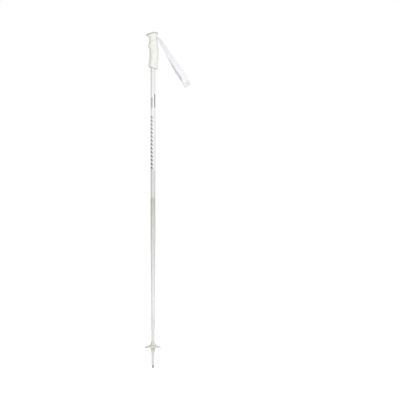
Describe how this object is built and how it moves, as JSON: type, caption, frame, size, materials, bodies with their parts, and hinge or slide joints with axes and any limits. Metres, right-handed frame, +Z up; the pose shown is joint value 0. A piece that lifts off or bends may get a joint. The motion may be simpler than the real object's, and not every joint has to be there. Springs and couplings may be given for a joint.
{
  "type": "alpine ski pole",
  "caption": "Alpine ski pole: tapered round shaft, shaped grip with finger rest and front spur, twisted webbing wrist strap, dished snow basket and blunt steel tip.",
  "frame": {"origin": "lowest point of the tip, on the shaft's axis, where the snow holds the pole", "axes": "+Z up the shaft towards the grip, -X the finger side of the grip, +X the palm side, where the strap leaves"},
  "size_m": [0.1589, 0.057, 1.1499],
  "materials": {
    "painted_aluminium": "gloss white lacquer over drawn aluminium tube",
    "soft_skin": "warm white thermoplastic rubber, fine matt texture",
    "hard_plastic": "warm white moulded plastic, satin",
    "basket_plastic": "yellowish white moulded plastic, satin",
    "inner_plastic": "grey moulded plastic, unseen",
    "webbing": "cool white woven polyester webbing",
    "steel": "dark hardened steel"
  },
  "bodies": {
    "pole": {"shaft_tube": "painted_aluminium", "shaft_top_plug": "inner_plastic", "grip_core": "inner_plastic", "grip_shell": "soft_skin", "head_cap": "hard_plastic", "cap_screw": "steel", "strap_pin": "steel", "strap_fixed_end": "webbing", "strap_free_end": "webbing", "ferrule": "hard_plastic", "tip_insert": "steel"},
    "strap": {"strap_loop": "webbing", "strap_end_band": "webbing"},
    "wedge": {"strap_wedge": "hard_plastic"},
    "basket": {"basket": "basket_plastic"}
  },
  "joints": [
    {"name": "strap_swing", "type": "hinge", "parent": "pole", "child": "strap", "pos_m": [0.0166, 0, 1.1308], "axis": [0, -1, 0], "range_deg": [-15, 90]},
    {"name": "wedge_lift", "type": "slide", "parent": "pole", "child": "wedge", "axis": [0, 0, 1], "range_m": [0, 0.0045]},
    {"name": "basket_turn", "type": "hinge", "parent": "pole", "child": "basket", "pos_m": [0, 0, 0.072], "axis": [0, 0, 1], "continuous": true}
  ]
}
